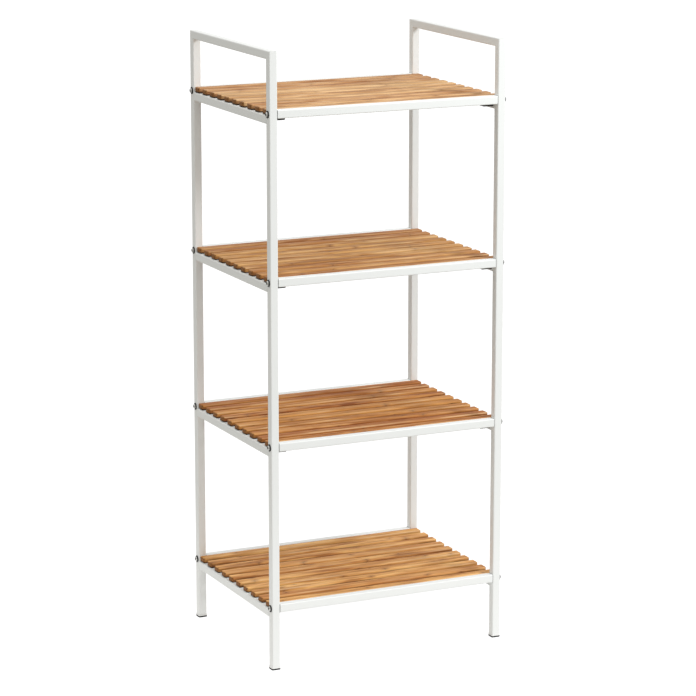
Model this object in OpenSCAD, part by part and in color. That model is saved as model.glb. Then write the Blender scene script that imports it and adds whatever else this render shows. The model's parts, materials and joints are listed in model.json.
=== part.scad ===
// Free-standing four-level storage rack: two welded side frames of square tube, bolted
// front and rear rails, and a slatted bamboo deck on each level.
// Millimetres, +Z up, front towards -Y, +X to the right seen from the front.
// The origin is on the floor, at the centre of the footprint.

/* [Overall size] */
// Width over the posts, left to right
rack_w = 455; // [360:5:600]
// Depth over the posts, front to back
rack_d = 355; // [300:5:420]
// Height from the floor to the top of the side frames
rack_h = 1100; // [1080:5:1300]

/* [Shelf levels] */
// Number of shelf levels
level_count = 4; // [2:1:4]
// Height of the lowest shelf surface above the floor
first_level_h = 120; // [80:5:130]
// Distance from one shelf surface to the next
level_pitch = 293; // [200:1:300]

/* [Square tube] */
// Outer width of the tube
tube = 15; // [15:1:18]
// Wall thickness of the tube
wall = 1; // [0.8:0.1:1.4]
// Outer corner radius of the tube
tube_r = 2; // [1.6:0.1:2.4]

/* [Decks] */
// Number of slats in a deck
slat_count = 10; // [6:1:11]
// Width of a slat
slat_w = 20; // [16:1:22]
// Thickness of a slat, and how far the side rails lie below the front rails
slat_t = 10; // [8:1:12]
// Radius along the long edges of a slat
slat_edge_r = 3; // [1:0.5:3.5]
// Radius of a slat's corners seen from above
slat_corner_r = 5.5; // [2:0.5:7]
// Distance from a slat's end to the outer face of the side frame
slat_inset = 1.5; // [1:0.5:4]
// Width of the two battens under a deck
batten_w = 20; // [16:1:30]
// Thickness of a batten
batten_t = 10; // [8:1:12]
// Gap round a deck where it drops between the rails
deck_gap = 1; // [0.5:0.5:2]

/* [Bolts] */
// Shank diameter of a frame bolt
bolt_d = 6; // [5:1:6]
// Length of a frame bolt under its head
bolt_l = 35; // [30:1:38]
// Diameter of the domed bolt head
head_d = 11; // [10:0.5:12]
// Height of the domed bolt head
head_h = 3.2; // [2.6:0.1:3.6]
// Diameter of the washer under the head
washer_d = 12.6; // [12:0.2:14]

/* [Feet] */
// Height of the black pad under a foot
pad_h = 2.5; // [2:0.5:6]
// Thickness of the light collar above the pad
collar_h = 2.5; // [1.5:0.5:4]
// How far the collar stands out from the tube
collar_lip = 0.6; // [0.2:0.1:1]

/* [Hidden] */
$fn = 48;
eps = 0.01;
sides = [["left", -1], ["right", 1]];
ends = [["front", -1], ["rear", 1]];
levels = [1:level_count];
corners = [for (s = sides, e = ends) [str(s[0], "_", e[0]), s[1], e[1]]];

bore = tube - 2 * wall;                  // inner width of the tube
bore_r = tube_r - wall;                  // inner corner radius of the tube
foot_h = pad_h + collar_h;               // the tube starts this far above the floor
post_x = (rack_w - tube) / 2;            // centre of a post
post_y = (rack_d - tube) / 2;
span_x = rack_w - 2 * tube;              // clear width between the posts
span_y = rack_d - 2 * tube;              // clear depth between the posts

bolt_clear_d = bolt_d + 0.6;             // hole through the post
washer_t = 1;
washer_bore_d = bolt_d + 0.4;
dome_r = (pow(head_d / 2, 2) + pow(head_h, 2)) / (2 * head_h);
head_flat = 0.3;                         // the dome is cut flat by this much
key_af = 4;                              // hexagon key, across flats
key_depth = 2;

plug_flange = 0.8;                       // the plug's rim, between rail and post
plug_l = 22;                             // how deep the plug sits in the rail
plug_gap = 0.1;
plug_bore_d = bolt_d + 0.1;
rail_l = span_x - 2 * plug_flange;

foot_plug_l = 16;
foot_fin_t = 1.6;
foot_fin_gap = 3.2;
foot_fins = 4;
foot_core = bore - 1.4;
peg_d = 5;
peg_h = 6;

slat_l = rack_w - 2 * slat_inset;
slat_end_r = 3.2;                        // over the slat's end, top and bottom
slat_pitch = (span_y - 2 * deck_gap - slat_w) / (slat_count - 1);
batten_x = span_x / 2 - deck_gap - batten_w / 2;
batten_l = span_y - 2 * deck_gap;
batten_r = 1.2;

screw_d = 3;
screw_l = 15;
screw_head_d = 6;
screw_head_h = 1.8;
screw_clear = 0.1;
recess_l = 3.4;                          // arms of the cross recess
recess_w = 0.8;
recess_h = 0.9;

// Height of the shelf surface of a level, counted from the lowest
function level_z(i) = first_level_h + (i - 1) * level_pitch;

// Centre height of the front and rear rails of a level
function rail_z(i) = level_z(i) - tube / 2;

// Centre of a slat in the deck, from the front
function slat_y(k) = (k - (slat_count + 1) / 2) * slat_pitch;

// Rectangle with rounded corners, centred on the origin
module rounded_rect(w, h, r) {
    square([w - 2 * r, h], center = true);
    square([w, h - 2 * r], center = true);
    for (x = [-1, 1], y = [-1, 1])
        translate([x * (w / 2 - r), y * (h / 2 - r)]) circle(r);
}

// Bar with a rounded square section, standing on z = 0
module square_bar(w, r, length) {
    linear_extrude(length) rounded_rect(w, w, r);
}

// Hollow square tube standing on z = 0
module square_tube(length) {
    difference() {
        square_bar(tube, tube_r, length);
        translate([0, 0, -1]) square_bar(bore, bore_r, length + 2);
    }
}

// The space above a 45 degree mitre that is highest on the -Y face, at height z
module above_mitre(z) {
    translate([0, -tube / 2, z]) rotate([-45, 0, 0])
        translate([-tube, -tube, 0]) cube([2 * tube, 4 * tube, 2 * tube]);
}

// Places a child at every bolt, with +Z pointing out of the side frame from the post's face
module at_each_bolt() {
    for (s = sides, e = ends, i = levels)
        translate([s[1] * rack_w / 2, e[1] * post_y, rail_z(i)])
            rotate([0, s[1] * 90, 0]) children();
}

// Upright tube with a mitred top and the bolt holes for every level
module post(side, end) {
    height = rack_h - foot_h;
    color("whitesmoke")
    translate([side * post_x, end * post_y, foot_h]) mirror([0, end > 0 ? 1 : 0, 0])
        difference() {
            square_tube(height);
            above_mitre(height);
            for (i = levels)
                translate([0, 0, rail_z(i) - foot_h]) rotate([0, 90, 0])
                    cylinder(d = bolt_clear_d, h = 2 * tube, center = true);
        }
}

// Rail across the top of a side frame, mitred to both posts
module top_rail(side) {
    color("whitesmoke")
    translate([side * post_x, 0, rack_h - tube / 2]) rotate([-90, 0, 0])
        difference() {
            translate([0, 0, -rack_d / 2]) square_tube(rack_d);
            for (m = [0, 1]) mirror([0, 0, m]) above_mitre(rack_d / 2);
        }
}

// Rail of a side frame that carries the slats, welded between its posts
module side_rail(side, level) {
    color("whitesmoke")
    translate([side * post_x, span_y / 2, rail_z(level) - slat_t]) rotate([90, 0, 0])
        square_tube(span_y);
}

// Front or rear rail, bolted between the side frames
module cross_rail(end, level) {
    color("whitesmoke")
    translate([-rail_l / 2, end * post_y, rail_z(level)]) rotate([0, 90, 0])
        square_tube(rail_l);
}

// Plug in the end of a front or rear rail, which takes the bolt's thread
module rail_end_plugs() {
    color("lightgray")
    at_each_bolt() translate([0, 0, -tube])
        mirror([0, 0, 1]) difference() {
            union() {
                square_bar(tube, tube_r, plug_flange);
                square_bar(bore - 2 * plug_gap, bore_r, plug_flange + plug_l);
            }
            translate([0, 0, -1]) cylinder(d = plug_bore_d, h = plug_l + 4);
        }
}

// Bolts with a domed head and a hexagon socket
module frame_bolts() {
    color("silver")
    at_each_bolt() translate([0, 0, washer_t]) {
        difference() {
            intersection() {
                translate([0, 0, head_h - dome_r]) sphere(dome_r);
                cylinder(d = head_d + 2, h = head_h - head_flat);
            }
            translate([0, 0, head_h - key_depth])
                cylinder(d = key_af / cos(30), h = head_h, $fn = 6);
        }
        translate([0, 0, -bolt_l]) cylinder(d = bolt_d, h = bolt_l + eps);
    }
}

module bolt_washers() {
    color("gray")
    at_each_bolt() difference() {
        cylinder(d = washer_d, h = washer_t);
        translate([0, 0, -1]) cylinder(d = washer_bore_d, h = washer_t + 2);
    }
}

// Light collar under the post, with a finned plug that grips inside the tube
module foot_plug(side, end) {
    color("white")
    translate([side * post_x, end * post_y, pad_h]) difference() {
        union() {
            square_bar(tube + 2 * collar_lip, tube_r, collar_h);
            square_bar(foot_core, bore_r, collar_h + foot_plug_l);
            for (k = [1:foot_fins])
                translate([0, 0, collar_h + k * foot_fin_gap])
                    square_bar(bore - plug_gap, bore_r, foot_fin_t);
        }
        translate([0, 0, -1]) cylinder(d = peg_d + plug_gap, h = peg_h + 1.5);
    }
}

// Black pad that stands on the floor, held by a peg in the foot plug
module foot_pad(side, end) {
    color("black")
    translate([side * post_x, end * post_y, 0]) {
        square_bar(tube + 2 * collar_lip, tube_r, pad_h);
        cylinder(d = peg_d, h = pad_h + peg_h);
    }
}

// One slat lying along X, centred on the origin, with rounded edges, ends and corners
module slat() {
    intersection() {
        rotate([90, 0, 90]) linear_extrude(slat_l, center = true)
            rounded_rect(slat_w, slat_t, slat_edge_r);
        rotate([90, 0, 0]) linear_extrude(slat_w + 2, center = true)
            rounded_rect(slat_l, slat_t, slat_end_r);
        linear_extrude(slat_t + 2, center = true)
            rounded_rect(slat_l, slat_w, slat_corner_r);
    }
}

// Slats of a deck, with blind pilot holes for the screws
module deck_slats(level) {
    color("burlywood")
    for (k = [1:slat_count])
        translate([0, slat_y(k), level_z(level) - slat_t / 2]) difference() {
            slat();
            for (s = sides)
                translate([s[1] * batten_x, 0, -slat_t / 2 - 1])
                    cylinder(d = screw_d, h = screw_l - batten_t + 1.2);
        }
}

// Batten under the slats, which keeps a deck between its side rails
module deck_batten(side, level) {
    bottom = level_z(level) - slat_t - batten_t;
    color("peru")
    translate([side * batten_x, 0, bottom]) difference() {
        translate([0, 0, batten_t / 2]) rotate([90, 0, 0])
            linear_extrude(batten_l, center = true) rounded_rect(batten_w, batten_t, batten_r);
        for (k = [1:slat_count]) translate([0, slat_y(k), 0]) {
            translate([0, 0, -1]) cylinder(d = screw_d + 2 * screw_clear, h = batten_t + 2);
            countersink(screw_clear);
        }
    }
}

// Cone of a countersunk head, from z = 0 up, grown by a gap
module countersink(gap) {
    translate([0, 0, -eps]) cylinder(d1 = screw_head_d + 2 * gap, d2 = screw_d, h = screw_head_h + eps);
}

// Countersunk screws that hold the slats to the battens, driven from below
module deck_screws(level) {
    color("darkgray")
    for (s = sides, k = [1:slat_count])
        translate([s[1] * batten_x, slat_y(k), level_z(level) - slat_t - batten_t]) difference() {
            union() {
                cylinder(d1 = screw_head_d, d2 = screw_d, h = screw_head_h);
                cylinder(d = screw_d - 0.05, h = screw_l);
            }
            for (a = [0, 90]) rotate([0, 0, a]) translate([0, 0, -1 + recess_h / 2])
                cube([recess_l, recess_w, recess_h + 2], center = true);
        }
}

for (c = corners) {
    post(c[1], c[2]);
    foot_plug(c[1], c[2]);
    foot_pad(c[1], c[2]);
}
for (s = sides) {
    top_rail(s[1]);
    for (i = levels) {
        side_rail(s[1], i);
        deck_batten(s[1], i);
    }
}
for (e = ends, i = levels)
    cross_rail(e[1], i);
for (i = levels) {
    deck_slats(i);
    deck_screws(i);
}
rail_end_plugs();
frame_bolts();
bolt_washers();
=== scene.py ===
"""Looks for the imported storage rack: materials, weld beads, studio light, floor and camera.
Metres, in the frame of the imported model: +Z up, front towards -Y."""
import json
import math

import bmesh
import bpy
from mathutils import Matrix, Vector


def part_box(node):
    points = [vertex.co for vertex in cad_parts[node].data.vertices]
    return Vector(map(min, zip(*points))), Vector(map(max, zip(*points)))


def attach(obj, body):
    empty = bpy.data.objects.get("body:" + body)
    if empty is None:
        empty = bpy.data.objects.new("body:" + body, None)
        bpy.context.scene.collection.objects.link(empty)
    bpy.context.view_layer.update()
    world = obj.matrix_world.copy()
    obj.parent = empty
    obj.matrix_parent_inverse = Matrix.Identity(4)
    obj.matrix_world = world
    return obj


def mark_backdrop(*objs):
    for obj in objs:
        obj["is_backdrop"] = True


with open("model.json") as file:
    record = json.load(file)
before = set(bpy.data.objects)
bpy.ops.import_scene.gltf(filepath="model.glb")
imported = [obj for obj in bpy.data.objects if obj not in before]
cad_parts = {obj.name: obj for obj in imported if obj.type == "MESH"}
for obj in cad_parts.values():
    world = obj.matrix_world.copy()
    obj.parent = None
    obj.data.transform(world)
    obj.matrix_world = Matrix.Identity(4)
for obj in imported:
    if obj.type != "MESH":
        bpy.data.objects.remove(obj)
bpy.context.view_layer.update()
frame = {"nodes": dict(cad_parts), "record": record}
nodes = frame["nodes"]

BODY = "root"
SIDES = ("left", "right")
LEVELS = (1, 2, 3, 4)

# Sizes that the looks need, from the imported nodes
post_low, post_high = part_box("left_front_post")
TUBE = post_high.x - post_low.x
deck_low, deck_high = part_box("deck_1_slats")
SLAT_COUNT = 10
SLAT_W = 0.020
SLAT_PITCH = (deck_high.y - deck_low.y - SLAT_W) / (SLAT_COUNT - 1)
SLAT_GAP = SLAT_PITCH - SLAT_W
LEVEL_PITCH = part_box("deck_2_slats")[1].z - deck_high.z
POST_Y = -(post_low.y + post_high.y) / 2
BOLT_Z = deck_high.z - TUBE / 2

# Weld beads under the side rails
BEAD_R = 0.0024
BEAD_RIPPLES = 6
BEAD_RINGS = 48
BEAD_ARC = 8
BEAD_SINK = 0.0003
BEAD_INSET = 0.0015

# Bamboo: width of a glued strip, and distance between the cane's nodes
STRIP_W = 0.0067
NODE_GAP = 0.40

# Bamboo grain, widest first: bands per metre along and across the slat, and weight
GRAIN = {
    "broad": (7.0, 60.0, 0.30),
    "streak": (13.0, 190.0, 0.32),
    "thin": (16.0, 420.0, 0.28),
    "fibre": (30.0, 1500.0, 0.10),
}
GRAIN_LOW, GRAIN_HIGH = 0.425, 0.575

# Camera: where it stands, where it looks, and how long its lens is
CAMERA_AT = (-2.2527, -4.7992, 1.7095)
CAMERA_YAW = 25.18
CAMERA_PITCH = 12.56
CAMERA_LENS = 154.5
SENSOR = 36.0

# Studio light: a round softbox at the front right, a soft sky, and light thrown up by the floor
KEY_AT = (0.943, -1.53, 1.78)
KEY_SIZE = 0.45
KEY_POWER = 19.2
KEY_COLOUR = (0.94, 0.975, 1.0)
RACK_MIDDLE = (0.0, 0.0, 0.6)
SKY_TILT = 12.0
SKY_UP = (1.30, 1.30, 1.30)
SKY_SIDE = (0.50, 0.488, 0.452)
SKY_DOWN = (0.28, 0.27, 0.245)
BOUNCE_SIZE = 1.6
BOUNCE_POWER = 4.2
BACKDROP_RADIUS = 40.0
BACKDROP_GLOW = 1.2
FLOOR_REACH = 0.95 * BACKDROP_RADIUS
FLOOR_WHITE = 0.2
FLOOR_GLOW = 0.95


# Bamboo colours
GRAIN_COLOURS = ((0.0, (0.25, 0.085, 0.022, 1.0)), (0.32, (0.43, 0.18, 0.056, 1.0)),
                 (0.62, (0.54, 0.27, 0.095, 1.0)), (1.0, (0.74, 0.44, 0.19, 1.0)))
# Tint of each deck, from the lowest deck up: painted light for how the light falls on each deck, the top
# deck's pale bluish tint a painted reflection of the sky at a grazing view
DECK_LIGHT_TINTS = ((0.0, (1.27, 1.22, 1.00, 1.0)), (0.34, (0.93, 0.71, 0.42, 1.0)),
               (0.67, (0.94, 0.85, 0.67, 1.0)), (1.0, (1.00, 1.06, 1.22, 1.0)))
DARK_SLAT = (0.38, 0.145, 0.045, 1.0)
PALE_SLAT = (0.64, 0.38, 0.15, 1.0)
PALE_STRIP = (0.64, 0.37, 0.15, 1.0)
NODE_SHADE = (0.30, 0.115, 0.034, 1.0)
NODE_RING = (0.15, 0.052, 0.015, 1.0)
# Painted highlight on the slats' upper long edges, and painted shade low in the gaps between slats
PAINTED_EDGE_HIGHLIGHT = (0.80, 0.53, 0.28, 1.0)
PAINTED_GAP_SHADE = (0.13, 0.045, 0.014, 1.0)
END_DARK = (0.10, 0.032, 0.009, 1.0)
END_LIGHT = (0.33, 0.140, 0.036, 1.0)
# Painted shade, near black, on the lowest part of every slat, underneath where it rests
PAINTED_UNDER_SHADE = (0.022, 0.012, 0.007, 1.0)


# ---------------------------------------------------------------- shader nodes

class Shader:
    """A new material with one Principled shader, and short calls to build its nodes."""

    def __init__(self, name, roughness, metallic=0.0, **constants):
        self.material = bpy.data.materials.new(name)
        self.material.use_nodes = True
        self.tree = self.material.node_tree
        self.bsdf = self.tree.nodes["Principled BSDF"]
        self.bsdf.inputs["Roughness"].default_value = roughness
        self.bsdf.inputs["Metallic"].default_value = metallic
        for socket, value in constants.items():
            self.bsdf.inputs[socket.replace("_", " ")].default_value = value

    def node(self, kind, inputs=(), **settings):
        made = self.tree.nodes.new("ShaderNode" + kind)
        for key, value in settings.items():
            setattr(made, key, value)
        for key, value in dict(inputs).items():
            self.feed(value, made.inputs[key])
        return made

    def feed(self, value, socket):
        """Links a node's output to the socket, or sets the socket to a constant."""
        if isinstance(value, bpy.types.NodeSocket):
            self.tree.links.new(value, socket)
        else:
            socket.default_value = value

    def math(self, operation, a, b=0.0, third=0.0):
        return self.node("Math", {0: a, 1: b, 2: third}, operation=operation).outputs[0]

    def position(self):
        return self.node("TexCoord").outputs["Object"]

    def split(self, vector):
        return self.node("SeparateXYZ", {0: vector}).outputs

    def join(self, x, y, z):
        return self.node("CombineXYZ", {0: x, 1: y, 2: z}).outputs[0]

    def noise(self, vector, scale=1.0, detail=2.0, roughness=0.5):
        made = self.node("TexNoise", {"Vector": vector, "Scale": scale,
                                      "Detail": detail, "Roughness": roughness})
        return made.outputs["Fac"]

    def random(self, vector):
        """Random value and colour that depend on the vector alone."""
        made = self.node("TexWhiteNoise", {"Vector": vector}, noise_dimensions="3D")
        return made.outputs["Value"], made.outputs["Color"]

    def remap(self, value, low, high, to_low=0.0, to_high=1.0, smooth=False):
        made = self.node("MapRange", {0: value, 1: low, 2: high, 3: to_low, 4: to_high})
        made.interpolation_type = "SMOOTHSTEP" if smooth else "LINEAR"
        return made.outputs[0]

    def mix(self, factor, a, b, blend="MIX"):
        made = self.node("Mix", data_type="RGBA", blend_type=blend)
        for key, value in (("Factor_Float", factor), ("A_Color", a), ("B_Color", b)):
            self.feed(value, next(i for i in made.inputs if i.identifier == key))
        return next(o for o in made.outputs if o.identifier == "Result_Color")

    def ramp(self, factor, stops):
        made = self.node("ValToRGB", {0: factor})
        elements = made.color_ramp.elements
        for place, colour in stops[1:-1]:
            elements.new(place).color = colour
        elements[0].position, elements[0].color = stops[0]
        elements[-1].position, elements[-1].color = stops[-1]
        return made.outputs[0]

    def bump(self, height, strength, distance):
        made = self.node("Bump", {"Height": height, "Strength": strength, "Distance": distance})
        self.feed(made.outputs[0], self.bsdf.inputs["Normal"])

    def colour(self, value):
        self.feed(value, self.bsdf.inputs["Base Color"])

    def rough(self, value):
        self.feed(value, self.bsdf.inputs["Roughness"])


def rgb(r, g, b):
    return (r, g, b, 1.0)


# ---------------------------------------------------------------- materials

def powder_coat():
    """White powder coat: a faint orange peel and a slight unevenness of gloss."""
    s = Shader("powder_coat", roughness=0.38)
    at = s.position()
    cloud = s.noise(at, scale=9.0, detail=3.0)
    peel = s.noise(at, scale=1100.0, detail=2.0)
    s.colour(s.mix(cloud, rgb(0.855, 0.868, 0.858), rgb(0.88, 0.892, 0.882)))
    s.rough(s.remap(s.noise(at, scale=220.0), 0.3, 0.7, 0.32, 0.44))
    s.bump(peel, 0.25, 0.0002)
    return s.material


def grain_noise(s, along, y, z, lengthwise, crosswise, detail=2.0):
    """Noise drawn out along the slat: bands per metre lengthwise and crosswise."""
    across = s.math("MULTIPLY", y, crosswise)
    deep = s.math("MULTIPLY", z, crosswise)
    return s.noise(s.join(s.math("MULTIPLY", along, lengthwise), across, deep), detail=detail)


def weigh(s, *pairs):
    """Sum of values, each times its weight."""
    total = 0.0
    for value, weight in pairs:
        total = s.math("MULTIPLY_ADD", value, weight, third=total)
    return total


def cane_nodes(s, x, y, streak, seed):
    """The cane's own nodes: a faint ring across each glued strip, and a shade beside it."""
    strip = s.math("FLOOR", s.math("DIVIDE", y, STRIP_W))
    place = s.random(s.join(strip, seed, 11.0))[0]
    wander = s.math("MULTIPLY", s.math("SUBTRACT", streak, 0.5), 0.012)
    along = s.math("ADD", s.math("MULTIPLY_ADD", place, NODE_GAP, third=x), wander)
    turn = s.math("SUBTRACT", s.math("FRACT", s.math("DIVIDE", s.math("ADD", along, 5.0), NODE_GAP)), 0.5)
    near = s.math("MULTIPLY", s.math("ABSOLUTE", turn), NODE_GAP)
    ring = s.remap(near, 0.0008, 0.0032, 1.0, 0.0, smooth=True)
    shade = s.remap(near, 0.003, 0.012, 1.0, 0.0, smooth=True)
    return ring, shade, s.random(s.join(strip, seed, 5.0))[0]


def slat_and_level(s, y, z):
    """Number of the slat and of the deck that a point is on, both from 0."""
    row = s.math("DIVIDE", s.math("SUBTRACT", y, deck_low.y - SLAT_GAP / 2), SLAT_PITCH)
    return s.math("FLOOR", row), s.math("FLOOR", s.math("DIVIDE", z, LEVEL_PITCH))


def slat_colour(s, grain, tone, strip_tone, level):
    """Grain colours, toned by the slat and the glued strip, with a painted-light tint for each deck."""
    wood = s.ramp(grain, GRAIN_COLOURS)
    wood = s.mix(s.remap(tone, 0.0, 0.5, 0.60, 0.0), wood, DARK_SLAT)
    wood = s.mix(s.remap(tone, 0.5, 1.0, 0.0, 0.50), wood, PALE_SLAT)
    wood = s.mix(s.remap(strip_tone, 0.0, 1.0, 0.0, 0.25), wood, PALE_STRIP)
    # Painted light: a tint for each deck for how the light falls on it
    deck_light_tint = s.ramp(s.math("DIVIDE", level, len(LEVELS) - 1.0), DECK_LIGHT_TINTS)
    return s.mix(1.0, wood, deck_light_tint, blend="MULTIPLY")


def edge_highlight_and_gap_shade(s, wood, patches, sideways, below):
    """Painted highlight on the upper long edges here and there, where the key light falls, and painted
    shade low down in the gaps between slats.
    """
    edge = s.math("MULTIPLY", s.remap(sideways, 0.1, 0.45), s.remap(below, 0.0026, 0.0012))
    # The paler mark is a painted highlight on the lit upper edges; the darker mark low down is painted
    # shade in the gaps between slats.
    pale = s.math("MULTIPLY", edge, s.remap(patches, 0.42, 0.62, 0.05, 0.70))
    gap_shade = s.math("MULTIPLY", s.remap(below, 0.0028, 0.0046), s.remap(patches, 0.60, 0.38, 0.1, 0.75))
    wood = s.mix(pale, wood, PAINTED_EDGE_HIGHLIGHT)
    return s.mix(s.math("MULTIPLY", gap_shade, s.remap(sideways, 0.5, 0.9)), wood, PAINTED_GAP_SHADE)


def cut_ends(s, wood, y, z, endways, below):
    """Cut ends show the ends of the fibres, and the lowest part of every slat face gets a near-black
    painted shade underneath.
    """
    end_grain = s.remap(endways, 0.45, 0.80, smooth=True)
    dots = s.node("TexVoronoi", {"Vector": s.join(0.0, y, z), "Scale": 900.0}).outputs["Distance"]
    wood = s.mix(end_grain, wood, s.mix(s.remap(dots, 0.2, 0.7), END_DARK, END_LIGHT))
    # Near-black painted shade on the lowest part of the slat
    return s.mix(s.remap(below, 0.0066, 0.0082, 0.0, 0.92), wood, PAINTED_UNDER_SHADE)


def bamboo():
    """Carbonised bamboo: every slat has its own tone, streaks and cane nodes."""
    s = Shader("bamboo", roughness=0.56, Specular_IOR_Level=0.25)
    x, y, z = s.split(s.position())
    slat, level = slat_and_level(s, y, z)
    seed = s.math("MULTIPLY_ADD", level, 17.0, third=slat)
    tone, dice = s.random(s.join(slat, level, 3.0))
    along = s.math("MULTIPLY_ADD", s.split(dice)[0], 7.0, third=x)

    noise = {name: grain_noise(s, along, y, z, lengthwise, crosswise)
             for name, (lengthwise, crosswise, weight) in GRAIN.items()}
    ring, shade, strip_tone = cane_nodes(s, x, y, noise["streak"], seed)
    mixed = weigh(s, *((noise[name], weight) for name, (_, _, weight) in GRAIN.items()))
    grain = s.remap(mixed, GRAIN_LOW, GRAIN_HIGH)

    wood = slat_colour(s, grain, tone, strip_tone, level)
    uneven = s.remap(noise["thin"], 0.35, 0.60, 0.15, 0.65)
    wood = s.mix(s.math("MULTIPLY", shade, uneven), wood, NODE_SHADE)
    wood = s.mix(s.math("MULTIPLY", ring, 0.42), wood, NODE_RING)

    endways, sideways = (s.math("ABSOLUTE", side)
                         for side in s.split(s.node("NewGeometry").outputs["Normal"])[:2])
    surface = s.math("MULTIPLY_ADD", level, LEVEL_PITCH, third=deck_high.z)
    below = s.math("SUBTRACT", surface, z)
    wood = edge_highlight_and_gap_shade(s, wood, grain_noise(s, along, y, z, 9.0, 40.0), sideways, below)
    s.colour(cut_ends(s, wood, y, z, endways, below))
    s.rough(s.remap(grain, 0.0, 1.0, 0.64, 0.5))
    s.bump(weigh(s, (noise["fibre"], 0.3), (noise["thin"], 0.5), (ring, 0.15)), 0.35, 0.0004)
    return s.material


def dark_batten():
    """Batten stained almost black, with open grain."""
    s = Shader("dark_batten", roughness=0.7)
    x, y, z = s.split(s.position())
    grain = s.noise(s.join(s.math("MULTIPLY", x, 500.0), s.math("MULTIPLY", y, 12.0),
                           s.math("MULTIPLY", z, 500.0)), detail=3.0)
    s.colour(s.ramp(grain, [(0.3, rgb(0.008, 0.006, 0.005)), (0.7, rgb(0.035, 0.026, 0.02))]))
    s.rough(s.remap(grain, 0.3, 0.7, 0.62, 0.78))
    s.bump(grain, 0.4, 0.0003)
    return s.material


def bolt_radius(s):
    """Distance from the axis of the nearest bolt."""
    x, y, z = s.split(s.position())
    off_y = s.math("SUBTRACT", s.math("ABSOLUTE", y), POST_Y)
    rise = s.math("DIVIDE", s.math("SUBTRACT", z, BOLT_Z - LEVEL_PITCH / 2), LEVEL_PITCH)
    off_z = s.math("MULTIPLY", s.math("SUBTRACT", s.math("FRACT", rise), 0.5), LEVEL_PITCH)
    return s.math("SQRT", weigh(s, (s.math("POWER", off_y, 2.0), 1.0), (s.math("POWER", off_z, 2.0), 1.0)))


def plated(name, light, dark, roughness, bolt=False, edge=1.0):
    """Zinc plate: fine tool marks and a cloudy tone. A bolt's rim and socket get near-black painted shade.
    """
    s = Shader(name, roughness=roughness, metallic=1.0, Specular_Tint=rgb(edge, edge, edge))
    at = s.position()
    cloud = s.noise(at, scale=420.0, detail=3.0)
    marks = s.noise(at, scale=3200.0, detail=1.0)
    metal = s.mix(cloud, dark, light)
    if bolt:
        radius = bolt_radius(s)
        # Painted shade, near black, round the head's rim and in its socket
        rim = s.remap(radius, 0.0040, 0.0050, smooth=True)
        socket = s.remap(radius, 0.0023, 0.0019)
        metal = s.mix(s.math("MAXIMUM", rim, socket), metal, rgb(0.03, 0.03, 0.03))
    s.colour(metal)
    s.rough(s.remap(marks, 0.3, 0.7, roughness - 0.06, roughness + 0.1))
    s.bump(marks, 0.15, 0.0001)
    return s.material


def moulded(name, low, high, roughness, grain_scale, gloss=0.5):
    """Moulded plastic or rubber with a fine spark-eroded grain."""
    s = Shader(name, roughness=roughness, Specular_IOR_Level=gloss)
    at = s.position()
    grain = s.noise(at, scale=grain_scale, detail=2.0)
    s.colour(s.mix(s.noise(at, scale=60.0), low, high))
    s.rough(s.remap(grain, 0.3, 0.7, roughness - 0.06, roughness + 0.08))
    s.bump(grain, 0.3, 0.00015)
    return s.material


def make_materials():
    return {
        "powder_coat": powder_coat(),
        "bamboo": bamboo(),
        "dark_batten": dark_batten(),
        "plug_nylon": moulded("plug_nylon", rgb(0.33, 0.33, 0.325), rgb(0.39, 0.39, 0.38), 0.5, 1800.0),
        "foot_collar": moulded("foot_collar", rgb(0.82, 0.82, 0.81), rgb(0.87, 0.87, 0.86), 0.4, 1500.0),
        "foot_pad": moulded("foot_pad",
                            rgb(0.004, 0.004, 0.004), rgb(0.009, 0.009, 0.009), 0.7, 1300.0, gloss=0.1),
        "bolt_zinc": plated("bolt_zinc",
                            rgb(0.88, 0.88, 0.87), rgb(0.72, 0.72, 0.71), 0.24, bolt=True, edge=0.5),
        "washer_steel": plated("washer_steel",
                               rgb(0.09, 0.09, 0.087), rgb(0.045, 0.045, 0.044), 0.55, edge=0.3),
        "screw_steel": plated("screw_steel", rgb(0.60, 0.55, 0.42), rgb(0.42, 0.38, 0.29), 0.35),
    }


def paint_cad_nodes(materials):
    for part in frame["record"]["subparts"]:
        node = nodes[part["node"]]
        node.data.materials.clear()
        node.data.materials.append(materials[part["material_slot"]])


# ---------------------------------------------------------------- weld beads

def bead_section(radius, towards):
    """Points of a fillet in a corner, as offsets along Y and Z. The first is inside the metal."""
    points = [(-BEAD_SINK * towards, BEAD_SINK)]
    for k in range(BEAD_ARC + 1):
        angle = math.pi / 2 * k / BEAD_ARC
        reach = radius * (1.0 - 0.2 * math.sin(2.0 * angle))
        out, down = reach * math.cos(angle), reach * math.sin(angle)
        points.append(((out if k < BEAD_ARC else -BEAD_SINK) * towards, -down if k else BEAD_SINK))
    return points


def add_bead(shape, x_low, x_high, y, z, towards):
    """One rippled bead along X, under a rail's end."""
    rings = []
    for i in range(BEAD_RINGS + 1):
        part = i / BEAD_RINGS
        taper = 0.25 + 0.75 * math.sin(math.pi * part) ** 0.4
        radius = BEAD_R * taper * (1.0 + 0.08 * math.cos(2.0 * math.pi * BEAD_RIPPLES * part))
        x = x_low + (x_high - x_low) * part
        rings.append([shape.verts.new((x, y + dy, z + dz)) for dy, dz in bead_section(radius, towards)])
    for one, two in zip(rings, rings[1:]):
        for k in range(len(one)):
            face = shape.faces.new((one[k - 1], one[k], two[k], two[k - 1]))
            face.smooth = True
    shape.faces.new(rings[0])
    shape.faces.new(rings[-1])


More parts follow.
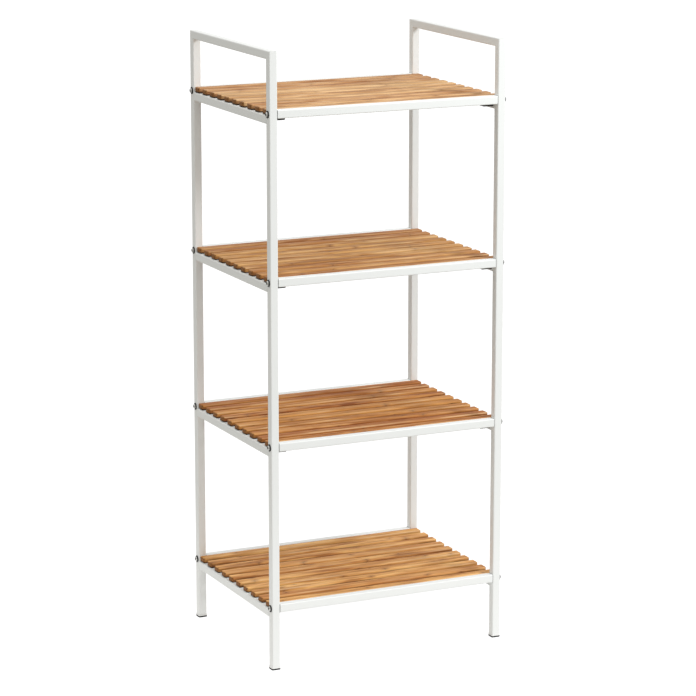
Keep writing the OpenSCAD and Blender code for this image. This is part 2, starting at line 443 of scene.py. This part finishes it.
def make_weld_beads(material):
    """Beads under both ends of every side rail, where it is welded to its posts."""
    for side in SIDES:
        for level in LEVELS:
            low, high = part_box(f"{side}_side_rail_{level}")
            shape = bmesh.new()
            for y, towards in ((low.y, 1.0), (high.y, -1.0)):
                add_bead(shape, low.x + BEAD_INSET, high.x - BEAD_INSET, y, low.z, towards)
            bmesh.ops.recalc_face_normals(shape, faces=shape.faces)
            mesh = bpy.data.meshes.new(f"weld_beads_{side}_{level}")
            shape.to_mesh(mesh)
            shape.free()
            mesh.materials.append(material)
            beads = bpy.data.objects.new(mesh.name, mesh)
            bpy.context.scene.collection.objects.link(beads)
            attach(beads, BODY)


# ---------------------------------------------------------------- stage

def add_stage_object(name, mesh):
    made = bpy.data.objects.new(name, mesh)
    bpy.context.scene.collection.objects.link(made)
    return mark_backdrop(made) or made


def glow_material(name, colour, strength):
    s = Shader(name, roughness=1.0)
    s.bsdf.inputs["Base Color"].default_value = colour
    s.bsdf.inputs["Specular IOR Level"].default_value = 0.0
    s.bsdf.inputs["Emission Color"].default_value = rgb(1.0, 1.0, 1.0)
    s.bsdf.inputs["Emission Strength"].default_value = strength
    return s.material


def camera_only(made):
    """The object shows to the camera, and lights nothing."""
    made.visible_diffuse = False
    made.visible_glossy = False
    made.visible_shadow = False
    made.visible_transmission = False


def make_floor():
    mesh = bpy.data.meshes.new("floor")
    r = FLOOR_REACH
    mesh.from_pydata([(-r, -r, 0.0), (r, -r, 0.0), (r, r, 0.0), (-r, r, 0.0)], [], [(0, 1, 2, 3)])
    white = rgb(FLOOR_WHITE, FLOOR_WHITE, FLOOR_WHITE)
    mesh.materials.append(glow_material("floor_white", white, FLOOR_GLOW))
    floor = add_stage_object("floor", mesh)
    camera_only(floor)


def make_backdrop():
    shape = bmesh.new()
    bmesh.ops.create_uvsphere(shape, u_segments=48, v_segments=24, radius=BACKDROP_RADIUS)
    mesh = bpy.data.meshes.new("backdrop")
    shape.to_mesh(mesh)
    shape.free()
    mesh.materials.append(glow_material("backdrop_white", rgb(0.0, 0.0, 0.0), BACKDROP_GLOW))
    camera_only(add_stage_object("backdrop", mesh))


def make_sky():
    """Soft light from all round: brightest above and to the right, weakest from below."""
    world = bpy.data.worlds.new("studio")
    bpy.context.scene.world = world
    world.use_nodes = True
    tree = world.node_tree
    tilt = math.radians(SKY_TILT)
    direction = tree.nodes.new("ShaderNodeTexCoord")
    height = tree.nodes.new("ShaderNodeVectorMath")
    height.operation = "DOT_PRODUCT"
    height.inputs[1].default_value = (math.sin(tilt), 0.0, math.cos(tilt))
    lift = tree.nodes.new("ShaderNodeMapRange")
    lift.inputs[1].default_value = -1.0
    ramp = tree.nodes.new("ShaderNodeValToRGB")
    elements = ramp.color_ramp.elements
    elements.new(0.5)
    for element, place, colour in zip(elements, (0.0, 0.5, 1.0), (SKY_DOWN, SKY_SIDE, SKY_UP)):
        element.position = place
        element.color = rgb(*colour)
    tree.links.new(direction.outputs["Generated"], height.inputs[0])
    tree.links.new(height.outputs["Value"], lift.inputs[0])
    tree.links.new(lift.outputs[0], ramp.inputs[0])
    tree.links.new(ramp.outputs[0], tree.nodes["Background"].inputs["Color"])


def add_soft_light(name, shape, place, towards, size, power, colour=(1.0, 1.0, 1.0)):
    """A flat light that the camera doesn't see."""
    light = bpy.data.lights.new(name, "AREA")
    light.shape = shape
    light.size = size
    light.energy = power
    light.color = colour
    made = bpy.data.objects.new(name, light)
    bpy.context.scene.collection.objects.link(made)
    made.location = place
    made.rotation_mode = "QUATERNION"
    made.rotation_quaternion = (Vector(place) - Vector(towards)).to_track_quat("Z", "Y")
    made.visible_camera = False


def make_lights():
    add_soft_light("key", "DISK", KEY_AT, RACK_MIDDLE, KEY_SIZE, KEY_POWER, KEY_COLOUR)
    add_soft_light("bounce", "SQUARE", (0.0, 0.0, 0.001), (0.0, 0.0, 1.0), BOUNCE_SIZE, BOUNCE_POWER)


def make_camera():
    lens = bpy.data.cameras.new("camera")
    lens.lens = CAMERA_LENS
    lens.sensor_width = SENSOR
    lens.clip_start, lens.clip_end = 0.1, BACKDROP_RADIUS * 3
    camera = bpy.data.objects.new("camera", lens)
    bpy.context.scene.collection.objects.link(camera)
    camera.location = CAMERA_AT
    camera.rotation_euler = (math.radians(90.0 - CAMERA_PITCH), 0.0, math.radians(-CAMERA_YAW))
    bpy.context.scene.camera = camera


def set_colour_management():
    view = bpy.context.scene.view_settings
    view.view_transform = "Standard"
    view.look = "None"


make_camera()
make_floor()
make_backdrop()
make_sky()
make_lights()
set_colour_management()
materials = make_materials()
paint_cad_nodes(materials)
make_weld_beads(materials["powder_coat"])
